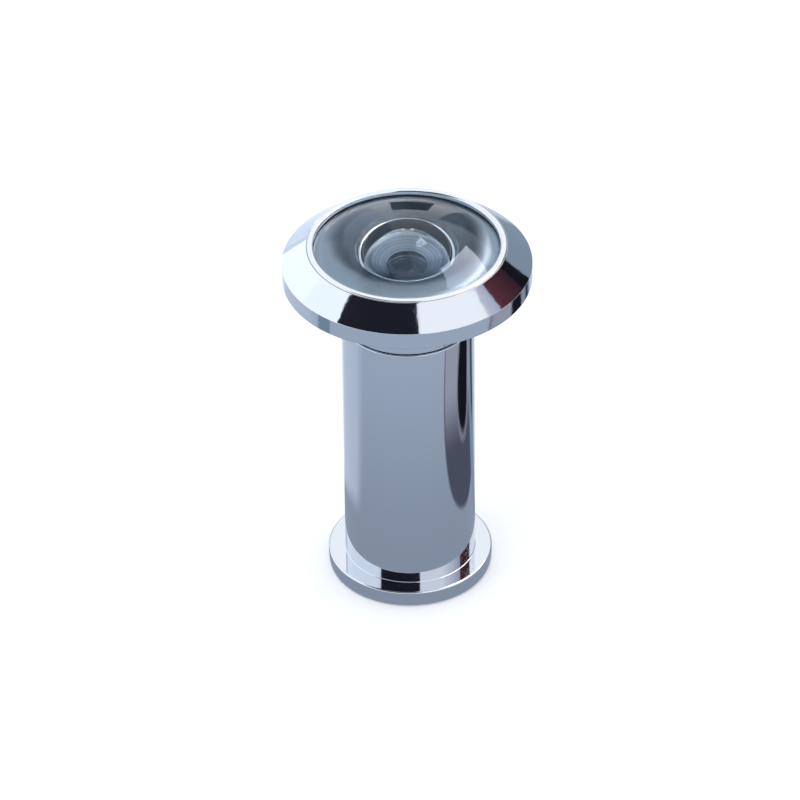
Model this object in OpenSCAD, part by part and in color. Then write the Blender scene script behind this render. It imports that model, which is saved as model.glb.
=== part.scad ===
// Door viewer (peephole): an objective half and an eyepiece half that screw together through a door.
// Millimetres. Z is the optical axis, and the eyepiece flange stands on z = 0 with the objective on top.

/* [Eyepiece half] */
// Outer diameter of the sleeve that fills the hole in the door
sleeve_d = 14; // [13.6:0.1:15]
// Height of the sleeve's open end above the eyepiece face
sleeve_top = 31.75; // [31:0.05:34]
// Outer diameter of the eyepiece flange
eye_flange_d = 17.6; // [16.6:0.1:20]
// Thickness of the eyepiece flange
eye_flange_t = 1.9; // [1.6:0.1:2.4]
// Diameter of the hole the eye looks into
eye_hole_d = 8; // [6.4:0.1:8.2]
// Width of each coin slot in the eyepiece face
slot_w = 1.6; // [1:0.1:2]
// Depth of each coin slot
slot_depth = 0.8; // [0.4:0.1:1]

/* [Objective half] */
// Outer diameter of the objective flange
flange_d = 26.1; // [25:0.1:30]
// Height of the flange's upright rim
rim_h = 1.85; // [1.4:0.05:2.4]
// Height of the bevel above the rim
bevel_h = 2.2; // [2:0.05:3]
// Diameter of the neck under the flange
neck_d = 13.6; // [13:0.1:14]
// Length of the neck
neck_h = 5.2; // [4:0.05:7]
// Bore for the lens stack
stack_bore_d = 9.8; // [9:0.1:9.9]
// Height of the threaded barrel's lower end above the eyepiece face
barrel_low = 5.2; // [5:0.1:8]

/* [Thread] */
// Outer diameter of the thread on the barrel
thread_d = 11.8; // [11.6:0.05:11.9]
// Pitch of the thread
pitch = 1; // [1:1:1]
// Radial height of the thread
thread_depth = 0.5; // [0.3:0.05:0.55]
// Radial clearance between the two threads
thread_gap = 0.12; // [0.1:0.01:0.15]
// Length of the thread inside the sleeve
female_len = 7.8; // [6:0.1:9]

/* [Glass] */
// Diameter of the front lens
front_lens_d = 20; // [19.8:0.05:20]
// Thickness of the front lens at its edge
front_lens_t = 1.7; // [1.4:0.05:1.9]
// Height of the front lens's dome above its edge
front_dome_h = 2.9; // [1.5:0.05:3]
// Diameter of the hollow ground into the back of the front lens
front_hollow_d = 9.6; // [9.5:0.1:10.6]
// Depth of that hollow
front_hollow_h = 2.7; // [2:0.05:2.8]
// Diameter of the eyepiece lens
eye_lens_d = 10.4; // [10:0.1:10.5]

/* [Hidden] */
$fn = 96;

eps = 0.01;        // overshoot of a cut past a face
dome_steps = 720;  // steps in a full circle of the front lens's dome
chamfer = 0.15;    // broken edges on the turned parts
slide_gap = 0.05;  // running clearance of the lens stack, and the gap left at a stop

// Heights along the axis
neck_low = sleeve_top + slide_gap;
flange_low = neck_low + neck_h;
rim_top = flange_low + rim_h;
lip_top = rim_top + bevel_h;

// The pocket in the flange that holds the front lens, its seal and the bezel
bezel_lip_h = 0.4;
seal_h = 0.2;
bezel_wall = 0.35;
bezel_overhang = 0.35;
glass_top = lip_top - bezel_lip_h - seal_h;
pocket_low = glass_top - front_lens_t;
pocket_r = front_lens_d / 2 + slide_gap + bezel_wall + 0.02;
lip_wall = 0.14;
opening_r = pocket_r - bezel_wall - bezel_overhang;
seal_r = opening_r - 0.03;

// The stack of lenses and spacers inside the barrel
stack_lip_h = 2.6;         // height of the turned funnel behind the front lens
stack_lip_edge = 0.3;      // upright edge round its hole
stack_lip_r = 2.6;         // radius of its hole
stack_funnel_r = 4.65;     // radius of its mouth
stack_r = stack_bore_d / 2 - slide_gap;
spacer_r = stack_r - 0.75;
second_lens_t = 2.6;
front_spacer_h = 2;
third_lens_t = 2.2;
stack_ring_h = 1.5;
stack_ring_low = barrel_low + 0.4;
second_lens_low = pocket_low - stack_lip_h - slide_gap - second_lens_t;
front_spacer_low = second_lens_low - front_spacer_h;
third_lens_low = front_spacer_low - third_lens_t;
spacer_tube_low = stack_ring_low + stack_ring_h + slide_gap;

// The eyepiece end of the sleeve
eye_floor_t = 1.2;
eye_seal_h = 0.35;
eye_lens_edge_t = 1;
eye_dome_h = 0.75;
eye_dome_d = 8.3;
eye_ring_h = 1.35;
eye_seat_h = 3.4;
eye_seat_r = eye_lens_d / 2 + 0.08;
countersink_r = eye_hole_d / 2 + 0.9;

// Thread form: a flat crest and a flat root joined by flanks of equal length, in parts of one pitch
thread_crest = 1 / 8;
thread_root = 1 / 4;
thread_flank = (1 - thread_crest - thread_root) / 2;
thread_steps = 24;          // straight stretches in one turn
male_turns = 25;
male_first = barrel_low + 0.4;
female_low = sleeve_top - 0.35 - female_len;
female_first = male_first + pitch * (ceil((female_low - male_first) / pitch) - 3);
female_turns = ceil((sleeve_top - female_first) / pitch) + 1;
sleeve_bore_r = thread_d / 2 + thread_gap + 0.1;

// Radius of the sphere whose cap has this base radius and height
function cap_radius(base_r, h) = (base_r * base_r + h * h) / (2 * h);

// Share of the full thread height at a point this many turns from the start of a thread of n turns
function run_out(turn, n) = min(1, 2 * turn, 2 * (n - turn));

// A solid rod with a right-hand thread. Row 0 at angle 0 is at height first, and each turn has four
// rows: flank foot, crest edge, crest edge, flank foot. The two ends are flat rings of root radius.
module threaded_rod(root_r, depth, low, high, first, turns, fade) {
    phase = [0, thread_flank, thread_flank + thread_crest, 2 * thread_flank + thread_crest];
    steps = thread_steps;
    last = 4 * turns - 1;

    function index(i, k) = i * (last + 1) + k;
    function low_ring(i) = steps * (last + 1) + i;
    function high_ring(i) = steps * (last + 2) + i;
    function turn(i, k) = floor(k / 4) + i / steps;
    function ridge(k) = (k % 4 == 1 || k % 4 == 2) ? depth : 0;
    function radius(i, k) = root_r + ridge(k) * (fade ? run_out(turn(i, k), turns) : 1);
    function around(r, i, z) = [r * cos(360 * i / steps), r * sin(360 * i / steps), z];

    wall = [
        for (i = [0 : steps - 1]) for (k = [0 : last])
            around(radius(i, k), i, first + pitch * (turn(i, k) + phase[k % 4]))
    ];
    rings = [for (z = [low, high]) for (i = [0 : steps - 1]) around(root_r, i, z)];
    sides = [
        for (i = [0 : steps - 2]) for (k = [0 : last - 1]) each [
            [index(i, k), index(i, k + 1), index(i + 1, k + 1)],
            [index(i, k), index(i + 1, k + 1), index(i + 1, k)]
        ]
    ];
    ends = [
        for (i = [0 : steps - 2]) each [
            [low_ring(i), index(i, 0), index(i + 1, 0)],
            [low_ring(i), index(i + 1, 0), low_ring(i + 1)],
            [index(i, last), high_ring(i), high_ring(i + 1)],
            [index(i, last), high_ring(i + 1), index(i + 1, last)]
        ]
    ];
    // Where the last step meets the first, the rows have climbed by one turn
    i = steps - 1;
    seam = [
        for (k = [0 : last - 5]) each [
            [index(i, k), index(i, k + 1), index(0, k + 5)],
            [index(i, k), index(0, k + 5), index(0, k + 4)]
        ]
    ];
    seam_low = concat(
        [for (k = [0 : 3]) [index(i, 0), index(0, k + 1), index(0, k)]],
        [[index(i, 0), index(0, 0), low_ring(0)], [index(i, 0), low_ring(0), low_ring(i)]]
    );
    seam_high = concat(
        [for (k = [last - 4 : last - 1]) [index(0, last), index(i, k), index(i, k + 1)]],
        [[index(0, last), index(i, last), high_ring(i)], [index(0, last), high_ring(i), high_ring(0)]]
    );
    caps = [[for (i = [0 : steps - 1]) low_ring(i)], [for (i = [steps - 1 : -1 : 0]) high_ring(i)]];
    polyhedron(concat(wall, rings), concat(sides, ends, seam, seam_low, seam_high, caps));
}

// A flat ring between two radii
module ring(outer_r, inner_r, low, h) {
    translate([0, 0, low]) difference() {
        cylinder(r = outer_r, h = h);
        translate([0, 0, -eps]) cylinder(r = inner_r, h = h + 2 * eps);
    }
}

// A ring with two notches across its lower face, which a pin wrench turns
module notched_ring(outer_r, inner_r, low, h, notch_w, notch_depth) {
    difference() {
        ring(outer_r, inner_r, low, h);
        translate([-outer_r - eps, -notch_w / 2, low - eps])
            cube([2 * outer_r + 2 * eps, notch_w, notch_depth + eps]);
    }
}

// A flat-topped lens with a round hollow in its lower face
module hollow_lens(r, low, thickness, hollow_r, hollow_h) {
    sphere_r = cap_radius(hollow_r, hollow_h);
    difference() {
        translate([0, 0, low]) cylinder(r = r, h = thickness);
        translate([0, 0, low + hollow_h - sphere_r]) sphere(r = sphere_r);
    }
}

// Sleeve and eyepiece flange, turned from one bar, with the inner thread at the open end
module eyepiece_sleeve() {
    sleeve_r = sleeve_d / 2;
    flange_r = eye_flange_d / 2;
    relief = 0.35;
    color("silver") difference() {
        rotate_extrude() polygon([
            [0, 0], [flange_r - chamfer, 0], [flange_r, chamfer],
            [flange_r, eye_flange_t - chamfer], [flange_r - chamfer, eye_flange_t],
            [sleeve_r, eye_flange_t], [sleeve_r, sleeve_top - chamfer],
            [sleeve_r - chamfer, sleeve_top], [0, sleeve_top]
        ]);
        translate([0, 0, -eps]) cylinder(d = eye_hole_d, h = eye_floor_t + 2 * eps);
        translate([0, 0, -eps])
            cylinder(r1 = countersink_r + eps, r2 = eye_hole_d / 2, h = countersink_r - eye_hole_d / 2);
        translate([0, 0, eye_floor_t]) cylinder(r = eye_seat_r, h = eye_seat_h + eps);
        translate([0, 0, eye_floor_t + eye_seat_h])
            cylinder(r = sleeve_bore_r, h = female_low - eye_floor_t - eye_seat_h);
        threaded_rod(thread_d / 2 - thread_depth + thread_gap, thread_depth,
            female_first - 0.4, female_first + pitch * (female_turns + 1.4),
            female_first, female_turns, false);
        translate([0, 0, sleeve_top - relief]) cylinder(r = sleeve_bore_r, h = relief + eps);
        for (side = [0, 180]) rotate(side) translate([countersink_r - 0.4, -slot_w / 2, -eps])
            cube([flange_r - countersink_r - 0.6, slot_w, slot_depth + eps]);
    }
}

// Soft washer under the eyepiece lens
module eyepiece_seal() {
    color("dimgray") ring(eye_lens_d / 2, eye_dome_d / 2 + 0.1, eye_floor_t, eye_seal_h);
}

// Double-convex lens with a flat land around it
module eyepiece_lens() {
    dome_r = eye_dome_d / 2;
    sphere_r = cap_radius(dome_r, eye_dome_h);
    low = eye_floor_t + eye_seal_h;
    color("lightsteelblue") union() {
        translate([0, 0, low]) cylinder(d = eye_lens_d, h = eye_lens_edge_t);
        intersection() {
            translate([0, 0, low - eye_dome_h + sphere_r]) sphere(r = sphere_r);
            translate([0, 0, low - eye_dome_h - eps]) cylinder(r = dome_r, h = eye_dome_h + eye_lens_edge_t);
        }
        intersection() {
            translate([0, 0, low + eye_lens_edge_t + eye_dome_h - sphere_r]) sphere(r = sphere_r);
            translate([0, 0, low + eps]) cylinder(r = dome_r, h = eye_dome_h + eye_lens_edge_t);
        }
    }
}

// Ring screwed down on the eyepiece lens
module eyepiece_retaining_ring() {
    low = eye_floor_t + eye_seal_h + eye_lens_edge_t;
    color("darkgray") translate([0, 0, 2 * low + eye_ring_h]) mirror([0, 0, 1])
        notched_ring(eye_seat_r - 0.02, eye_dome_d / 2 + 0.15, low, eye_ring_h, 1, 0.6);
}

module second_lens() {
    color("lightsteelblue") hollow_lens(stack_r, second_lens_low, second_lens_t, 3.9, 1.9);
}

module front_spacer() {
    color("dimgray") ring(stack_r, spacer_r, front_spacer_low, front_spacer_h);
}

module third_lens() {
    color("lightsteelblue") hollow_lens(stack_r, third_lens_low, third_lens_t, 3.6, 1.2);
}

// Long tube that holds the lenses up against the flange
module spacer_tube() {
    color("dimgray") ring(stack_r, spacer_r, spacer_tube_low, third_lens_low - spacer_tube_low);
}

// Flange, neck and threaded barrel, turned from one bar
module objective_housing() {
    neck_r = neck_d / 2;
    flange_r = flange_d / 2;
    lip_r = pocket_r + lip_wall;
    sunk = 0.3;
    color("silver") difference() {
        union() {
            rotate_extrude() polygon([
                [0, neck_low], [neck_r - chamfer, neck_low], [neck_r, neck_low + chamfer],
                [neck_r, flange_low], [flange_r - chamfer, flange_low], [flange_r, flange_low + chamfer],
                [flange_r, rim_top], [lip_r, lip_top - bezel_lip_h / 2], [lip_r - 0.1, lip_top],
                [0, lip_top]
            ]);
            threaded_rod(thread_d / 2 - thread_depth, thread_depth,
                barrel_low, neck_low + sunk, male_first, male_turns, true);
        }
        translate([0, 0, pocket_low]) cylinder(r = pocket_r, h = lip_top - pocket_low + eps);
        translate([0, 0, pocket_low - stack_lip_h - eps]) cylinder(r = stack_lip_r, h = stack_lip_h + 2 * eps);
        translate([0, 0, pocket_low - stack_lip_h + stack_lip_edge])
            cylinder(r1 = stack_lip_r, r2 = stack_funnel_r, h = stack_lip_h - stack_lip_edge + eps);
        translate([0, 0, barrel_low - eps])
            cylinder(d = stack_bore_d, h = pocket_low - stack_lip_h - barrel_low + eps);
    }
}

// Front lens: a round dome, a flat ring round it for the seal, and a deep round hollow behind it
module front_lens() {
    dome_base_r = seal_r - 0.02;
    dome_r = cap_radius(dome_base_r, front_dome_h);
    hollow_r = cap_radius(front_hollow_d / 2, front_hollow_h);
    color("lightsteelblue") rotate_extrude() difference() {
        union() {
            translate([0, pocket_low]) square([front_lens_d / 2, front_lens_t]);
            intersection() {
                translate([0, pocket_low]) square([dome_base_r, front_lens_t + front_dome_h]);
                translate([0, glass_top + front_dome_h - dome_r]) circle(r = dome_r, $fn = dome_steps);
            }
        }
        translate([0, pocket_low + front_hollow_h - hollow_r]) circle(r = hollow_r);
    }
}

// Black seal between the front lens and the lip of the bezel
module front_lens_seal() {
    color("dimgray") ring(front_lens_d / 2, seal_r, glass_top, seal_h);
}

// Thin ring pressed into the flange, with a rounded lip that traps the seal and the lens
module bezel_ring() {
    outer_r = pocket_r - 0.02;
    wall_low = pocket_low + 0.6;
    color("silver") union() {
        ring(outer_r, front_lens_d / 2 + slide_gap, wall_low, lip_top - bezel_lip_h - wall_low + eps);
        rotate_extrude() polygon([
            [opening_r, lip_top - bezel_lip_h], [outer_r, lip_top - bezel_lip_h], [outer_r, lip_top],
            [outer_r - chamfer, lip_top + chamfer / 2], [opening_r + chamfer, lip_top + chamfer / 2],
            [opening_r, lip_top - chamfer / 2]
        ]);
    }
}

// Ring screwed into the barrel's lower end, under the lens stack
module stack_retaining_ring() {
    color("darkgray") notched_ring(stack_bore_d / 2 - 0.02, spacer_r, stack_ring_low, stack_ring_h, 1, 0.6);
}

eyepiece_sleeve();
eyepiece_seal();
eyepiece_lens();
eyepiece_retaining_ring();
second_lens();
front_spacer();
third_lens();
spacer_tube();
objective_housing();
front_lens();
front_lens_seal();
bezel_ring();
stack_retaining_ring();
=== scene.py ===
# %% [markdown]
# # A door viewer, dressed
#
# The CAD frame holds every size, fit and joint of a chromed door viewer. This lesson dresses it: each turned
# part is drawn again as a smooth surface of revolution with true rounded edges, the thread becomes a real
# helix, the lenses become real glass, and the chrome gets a room to reflect.

# %% Load the frame
import math

import bpy
import numpy as np
from mathutils import Matrix, Vector
from mathutils.geometry import delaunay_2d_cdt


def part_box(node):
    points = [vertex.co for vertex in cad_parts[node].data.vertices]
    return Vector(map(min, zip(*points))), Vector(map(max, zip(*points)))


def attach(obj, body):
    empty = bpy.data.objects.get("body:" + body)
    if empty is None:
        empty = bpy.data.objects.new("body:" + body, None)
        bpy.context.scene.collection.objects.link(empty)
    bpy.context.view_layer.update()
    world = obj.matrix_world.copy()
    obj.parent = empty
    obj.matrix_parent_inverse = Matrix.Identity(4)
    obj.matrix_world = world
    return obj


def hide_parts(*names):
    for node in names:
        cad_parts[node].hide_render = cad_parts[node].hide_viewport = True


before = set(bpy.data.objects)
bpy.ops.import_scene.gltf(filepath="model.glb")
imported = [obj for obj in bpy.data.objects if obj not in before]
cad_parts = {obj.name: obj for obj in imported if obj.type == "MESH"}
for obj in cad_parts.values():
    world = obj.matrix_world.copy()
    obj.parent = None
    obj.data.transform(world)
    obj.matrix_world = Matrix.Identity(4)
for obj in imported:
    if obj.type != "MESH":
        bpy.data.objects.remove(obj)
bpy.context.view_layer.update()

# %% [markdown]
# ## Units, colours and nodes
#
# A maker thinks in millimetres and Blender works in metres, so sizes are written in millimetres and turned
# once, where a mesh is made. Colours are picked as screen hex values, which are not linear, and a shader
# needs linear light, so one function turns them.

# %% Units, colours and nodes
MM = 0.001


def linear(hex_colour):
    """The linear RGBA of an sRGB hex colour such as "c8ccd2"."""
    srgb = np.array([int(hex_colour[i : i + 2], 16) for i in (0, 2, 4)]) / 255
    light = np.where(srgb <= 0.04045, srgb / 12.92, ((srgb + 0.055) / 1.055) ** 2.4)
    return (*light.tolist(), 1.0)


def add_node(tree, kind, inputs=None, **settings):
    """Adds one node. Settings are its properties, and inputs gives its sockets, by name or number, a value or
    another node's socket."""
    node = tree.nodes.new(kind)
    for name, value in settings.items():
        setattr(node, name, value)
    for socket, value in (inputs or {}).items():
        if isinstance(value, bpy.types.NodeSocket):
            tree.links.new(value, node.inputs[socket])
        else:
            node.inputs[socket].default_value = value
    return node


def new_material(name):
    """An empty node material and its tree."""
    material = bpy.data.materials.new(name)
    material.use_nodes = True
    material.node_tree.nodes.clear()
    return material, material.node_tree


def finish_material(tree, shader):
    """Joins a shader to the material's output."""
    add_node(tree, "ShaderNodeOutputMaterial", {"Surface": shader.outputs[0]})


def lathe_radius(tree):
    """Distance from the turning axis in metres, from Object coordinates with Z set to nothing."""
    place = add_node(tree, "ShaderNodeTexCoord").outputs["Object"]
    flat = add_node(tree, "ShaderNodeVectorMath", {0: place, 1: (1, 1, 0)}, operation="MULTIPLY")
    return add_node(tree, "ShaderNodeVectorMath", {0: flat.outputs[0]}, operation="LENGTH").outputs["Value"]


# %% [markdown]
# ## Chrome plate on turned brass
#
# Bright chrome is nearly a mirror, and what gives it away as metal is small: a slightly blue white, a slow
# waviness left by polishing under the plate, short ripples where the buffing wheel dwelt, hairline scratches
# from wiping, and dust-dull patches where the roughness rises a little. The waves are about 2 mm from crest
# to crest and the hairlines run one way, as a cloth leaves them. All of these are noise on Object
# coordinates, in real sizes. The flange gets deeper ripples than the sleeve, and the bezel, pressed from
# bright strip, gets none.

# %% Chrome plate
WAVE_LENGTH = 2.2     # polishing waves, mm
SMEAR_LENGTH = 6.0    # dull patches, mm
RIPPLE_LENGTH = 0.9   # short ripples where the buffing wheel dwelt, mm
HAIRLINE_GAP = 0.35   # between hairline scratches, drawn coarser than real ones so that they show, mm
HAIRLINE_DEPTH = 0.0004  # mm
HAIRLINE_DULL = 0.035    # roughness that a scratch adds


def chrome_plate(name, base="d4d9e1", dull=0.045, wave_height=0.0022, ripple_height=0.0):
    """Chrome of this colour and usual roughness, with waves and ripples of these heights in mm."""
    material, tree = new_material(name)
    place = add_node(tree, "ShaderNodeTexCoord").outputs["Object"]
    waves = add_node(tree, "ShaderNodeTexNoise", {
        "Vector": place, "Scale": 1 / (WAVE_LENGTH * MM), "Detail": 1.5, "Roughness": 0.4})
    smears = add_node(tree, "ShaderNodeTexNoise", {
        "Vector": place, "Scale": 1 / (SMEAR_LENGTH * MM), "Detail": 5.0, "Roughness": 0.62})
    hairline_place = add_node(tree, "ShaderNodeMapping", {
        "Vector": place, "Rotation": (0.4, 0.2, 0.7), "Scale": (1.0, 0.06, 1.0)})
    hairlines = add_node(tree, "ShaderNodeTexNoise", {
        "Vector": hairline_place.outputs[0], "Scale": 1 / (HAIRLINE_GAP * MM), "Detail": 3.0})
    thin = add_node(tree, "ShaderNodeMapRange", {
        "Value": hairlines.outputs["Fac"], "From Min": 0.62, "From Max": 0.72, "To Min": 0.0, "To Max": 1.0})
    smeared = add_node(tree, "ShaderNodeMapRange", {
        "Value": smears.outputs["Fac"], "From Min": 0.35, "From Max": 0.75,
        "To Min": dull * 0.7, "To Max": dull * 1.9})
    rough = add_node(tree, "ShaderNodeMath", {
        0: thin.outputs[0], 1: HAIRLINE_DULL, 2: smeared.outputs[0]}, operation="MULTIPLY_ADD")
    waved = add_node(tree, "ShaderNodeBump", {
        "Height": waves.outputs["Fac"], "Strength": 1.0, "Distance": wave_height * MM})
    ripples = add_node(tree, "ShaderNodeTexNoise", {
        "Vector": place, "Scale": 1 / (RIPPLE_LENGTH * MM), "Detail": 1.0})
    dwelt = add_node(tree, "ShaderNodeMapRange", {
        "Value": smears.outputs["Fac"], "From Min": 0.42, "From Max": 0.6, "To Min": 0.15, "To Max": 1.0})
    ripple = add_node(tree, "ShaderNodeMath", {
        0: ripples.outputs["Fac"], 1: dwelt.outputs[0]}, operation="MULTIPLY")
    rippled = add_node(tree, "ShaderNodeBump", {
        "Height": ripple.outputs[0], "Strength": 1.0, "Distance": ripple_height * MM,
        "Normal": waved.outputs[0]})
    scratched = add_node(tree, "ShaderNodeBump", {
        "Height": thin.outputs[0], "Strength": 0.35, "Distance": HAIRLINE_DEPTH * MM,
        "Normal": rippled.outputs[0]})
    plate = add_node(tree, "ShaderNodeBsdfPrincipled", {
        "Base Color": linear(base), "Metallic": 1.0, "Roughness": rough.outputs[0],
        "Normal": scratched.outputs[0]})
    finish_material(tree, plate)
    return material


CHROME = chrome_plate("chrome_plate_on_brass", ripple_height=0.0016)
FLANGE_CHROME = chrome_plate("chrome_plate_on_flange", ripple_height=0.006)
BEZEL_CHROME = chrome_plate("chrome_bezel", base="dde1e8", dull=0.06, wave_height=0.001)
print("chrome:", CHROME.name, FLANGE_CHROME.name, BEZEL_CHROME.name)

# %% [markdown]
# ## The turned seat and funnel under the glass
#
# Behind the big lens is the bare floor of its pocket, faced off on a lathe and plated over. In its middle it
# sinks into a turned funnel, which shows through the lens's hollow. The tool leaves rings, and rings stretch
# a highlight into a soft wedge that points at the centre. An anisotropic metal with its tangent running
# round the axis gives that wedge without any geometry finer than the eye can see. The floor is nearly
# smooth, and the funnel's grooves are deep enough to show one by one; the rings' hollows are also painted a
# darker colour than their crests, as painted shade in the grooves. The glass is bedded on the floor with no
# air between, so the back of the glass carries the same finish.

# %% Turned and plated seat and funnel
TOOL_STEP = 0.34  # feed of the facing tool, drawn about three times as coarse as real so that it shows, mm


def turned_seat(name, groove_shade_tint, crest_tint, groove):
    """Turned metal with tool rings this deep in mm. Its colour runs from the first colour in the rings'
    hollows, painted shade in the grooves, to the second on their crests.
    """
    material, tree = new_material(name)
    radius = lathe_radius(tree)
    rings = add_node(tree, "ShaderNodeTexNoise", {
        "W": radius, "Scale": 1 / (TOOL_STEP * MM), "Detail": 2.0}, noise_dimensions="1D")
    share = add_node(tree, "ShaderNodeMapRange", {
        "Value": rings.outputs["Fac"], "From Min": 0.35, "From Max": 0.65})
    # Painted shade: the hollows of the tool rings take the darker colour, as shade in the grooves
    colour = add_node(tree, "ShaderNodeMix", {
        "Factor": share.outputs[0], 6: linear(groove_shade_tint), 7: linear(crest_tint)}, data_type="RGBA")
    rough = add_node(tree, "ShaderNodeMapRange", {
        "Value": rings.outputs["Fac"], "From Min": 0.3, "From Max": 0.7, "To Min": 0.44, "To Max": 0.5})
    grooves = add_node(tree, "ShaderNodeBump", {
        "Height": rings.outputs["Fac"], "Strength": 0.4, "Distance": groove * MM})
    around = add_node(tree, "ShaderNodeTangent", direction_type="RADIAL", axis="Z")
    seat = add_node(tree, "ShaderNodeBsdfPrincipled", {
        "Base Color": colour.outputs[2], "Metallic": 1.0, "Roughness": rough.outputs[0],
        "Anisotropic": 0.85, "Tangent": around.outputs[0], "Normal": grooves.outputs[0]})
    finish_material(tree, seat)
    return material


TURNED_SEAT = turned_seat("turned_plated_seat", "b6c8d8", "bccddc", 0.0006)
TURNED_FUNNEL = turned_seat("turned_plated_funnel", "8fa2b4", "c6d4e0", 0.003)
print("turned metal:", TURNED_SEAT.name, TURNED_FUNNEL.name)

# %% [markdown]
# ## Glass, rubber, plastic and bare brass
#
# The lenses are ordinary crown glass, index 1.52, polished, with a breath of dust in the roughness. A thin
# bloom on their faces leaves what they reflect faintly blue, which is the shader's specular tint. Seals are
# matt black rubber, spacers are moulded black plastic, and the two inner rings are brass straight off the
# lathe, with tool marks round the axis.

# %% Glass
CROWN_INDEX = 1.52
DUST_LENGTH = 4.0  # patches of dust, mm


def crown_glass(name, tint, bloom, dust_high):
    """Glass of this body colour, with its reflections' colour and the roughness of its dustiest spots."""
    material, tree = new_material(name)
    place = add_node(tree, "ShaderNodeTexCoord").outputs["Object"]
    dust = add_node(tree, "ShaderNodeTexNoise", {
        "Vector": place, "Scale": 1 / (DUST_LENGTH * MM), "Detail": 6.0, "Roughness": 0.65})
    rough = add_node(tree, "ShaderNodeMapRange", {
        "Value": dust.outputs["Fac"], "From Min": 0.4, "From Max": 0.8,
        "To Min": 0.0, "To Max": dust_high})
    glass = add_node(tree, "ShaderNodeBsdfPrincipled", {
        "Base Color": linear(tint), "Roughness": rough.outputs[0], "IOR": CROWN_INDEX,
        "Specular Tint": linear(bloom), "Transmission Weight": 1.0})
    finish_material(tree, glass)
    return material


FRONT_GLASS = crown_glass("crown_glass_front", "eef4f8", "b4cfee", 0.006)
INNER_GLASS = crown_glass("crown_glass_inner", "d2dce6", "8090b0", 0.004)
print("glass:", FRONT_GLASS.name, INNER_GLASS.name)

# %% Rubber, plastic and brass
LATHE_FEED = 0.08   # between tool marks on the brass, mm
MARK_DEPTH = 0.004  # mm
STAIN_LENGTH = 1.5  # darker patches on the brass, mm


def matt_black(name, base, low, high, grain, height):
    """Rubber or moulded plastic: black, with a fine grain of this size and height in mm."""
    material, tree = new_material(name)
    place = add_node(tree, "ShaderNodeTexCoord").outputs["Object"]
    grains = add_node(tree, "ShaderNodeTexNoise", {
        "Vector": place, "Scale": 1 / (grain * MM), "Detail": 4.0})
    rough = add_node(tree, "ShaderNodeMapRange", {
        "Value": grains.outputs["Fac"], "From Min": 0.3, "From Max": 0.7, "To Min": low, "To Max": high})
    bumps = add_node(tree, "ShaderNodeBump", {
        "Height": grains.outputs["Fac"], "Strength": 0.6, "Distance": height * MM})
    skin = add_node(tree, "ShaderNodeBsdfPrincipled", {
        "Base Color": linear(base), "Roughness": rough.outputs[0], "IOR": 1.5,
        "Normal": bumps.outputs[0]})
    finish_material(tree, skin)
    return material


def turned_brass():
    """Brass with tool marks round the axis and slightly darker, rougher patches."""
    material, tree = new_material("turned_brass")
    radius = lathe_radius(tree)
    place = add_node(tree, "ShaderNodeTexCoord").outputs["Object"]
    marks = add_node(tree, "ShaderNodeTexNoise", {
        "W": radius, "Scale": 1 / (LATHE_FEED * MM), "Detail": 2.0}, noise_dimensions="1D")
    stain = add_node(tree, "ShaderNodeTexNoise", {
        "Vector": place, "Scale": 1 / (STAIN_LENGTH * MM), "Detail": 4.0})
    colour = add_node(tree, "ShaderNodeMix", {
        "Factor": stain.outputs["Fac"], 6: linear("d3b26a"), 7: linear("a9884a")}, data_type="RGBA")
    rough = add_node(tree, "ShaderNodeMapRange", {
        "Value": stain.outputs["Fac"], "From Min": 0.3, "From Max": 0.7, "To Min": 0.2, "To Max": 0.38})
    grooves = add_node(tree, "ShaderNodeBump", {
        "Height": marks.outputs["Fac"], "Strength": 0.6, "Distance": MARK_DEPTH * MM})
    brass = add_node(tree, "ShaderNodeBsdfPrincipled", {
        "Base Color": colour.outputs[2], "Metallic": 1.0, "Roughness": rough.outputs[0],
        "Normal": grooves.outputs[0]})
    finish_material(tree, brass)
    return material


BLACK_RUBBER = matt_black("black_rubber", "17181a", 0.45, 0.65, 0.15, 0.004)
BLACK_PLASTIC = matt_black("black_moulded_plastic", "121316", 0.3, 0.45, 0.25, 0.002)
BRASS = turned_brass()
print("inside:", BLACK_RUBBER.name, BLACK_PLASTIC.name, BRASS.name)

# %% [markdown]
# ## Turning a profile
#
# Almost everything here came off a lathe, so almost everything is a profile spun round Z. A profile is a
# table of points in millimetres with four columns: radius, height, and the outward normal's two parts. The
# normals are worked out with the shape, so a flat stays optically flat right up to its rounded edge, which
# a mirror finish would otherwise give away.

# %% Profiles
COLUMNS = 192  # straight stretches round the axis


def rounded(corners, steps=5, closed=True):
    """Profile of straight lines with rounded corners, counterclockwise with radius to the right.

    A corner is (radius, height, rounding). Its arc touches both of its lines: it starts rounding / tan(half
    the corner's angle) before the corner. An open profile keeps its two end points as they are.
    """
    spots = np.array([corner[:2] for corner in corners], float)
    rows = []
    for i, (r, z, rounding) in enumerate(corners):
        spot = np.array([r, z], float)
        back = spots[i - 1] - spot if closed or i > 0 else None
        ahead = spots[(i + 1) % len(spots)] - spot if closed or i < len(spots) - 1 else None
        if back is None or ahead is None:
            way = ahead if back is None else -back
            way = way / np.linalg.norm(way)
            rows.append([[r, z, way[1], -way[0]]])
            continue
        u, v = back / np.linalg.norm(back), ahead / np.linalg.norm(ahead)
        half = math.acos(np.clip(u @ v, -1, 1)) / 2
        centre = spot + (u + v) / np.linalg.norm(u + v) * rounding / math.sin(half)
        start = spot + u * rounding / math.tan(half) - centre
        end = spot + v * rounding / math.tan(half) - centre
        first, turn = math.atan2(start[1], start[0]), math.pi - 2 * half
        side = 1 if u[0] * v[1] - u[1] * v[0] < 0 else -1
        angles = first + side * turn * np.linspace(0, 1, steps + 1)
        rim = np.column_stack([np.cos(angles), np.sin(angles)])
        rows.append(np.column_stack([centre + rounding * rim, side * rim]))
    return np.vstack(rows)


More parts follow.
